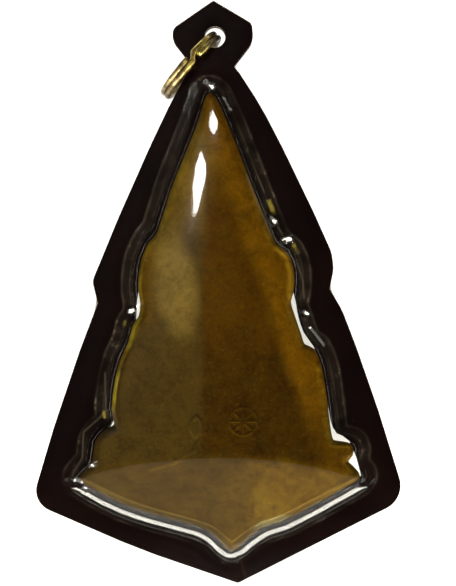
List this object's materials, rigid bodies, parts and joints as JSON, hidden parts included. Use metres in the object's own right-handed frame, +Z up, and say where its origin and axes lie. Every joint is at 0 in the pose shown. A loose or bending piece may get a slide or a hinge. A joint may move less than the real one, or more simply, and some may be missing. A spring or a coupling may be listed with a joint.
{
  "type": "thai buddha amulet pendant",
  "caption": "Cast brass Buddha amulet in a clear waterproof case with a black border, a hanging tab and a split ring, lying on its front.",
  "frame": {"origin": "middle of the case's outline, on the surface that the pendant lies on", "axes": "+Z up out of the amulet's back, +Y along the pendant towards its hanging tab, +X to the right as seen from the back"},
  "size_m": [0.0292, 0.0466, 0.0068],
  "materials": {
    "black_sheet": "glossy black acrylic sheet",
    "back_clear": "clear glossy formed acrylic",
    "front_clear": "clear glossy formed acrylic",
    "cast_brass": "cast, with a brown and golden patina",
    "ring_wire": "polished pale brass wire"
  },
  "bodies": {
    "root": {"border_sheet": "black_sheet", "back_cover": "back_clear", "front_cover": "front_clear", "amulet": "cast_brass", "split_ring": "ring_wire"}
  },
  "joints": []
}
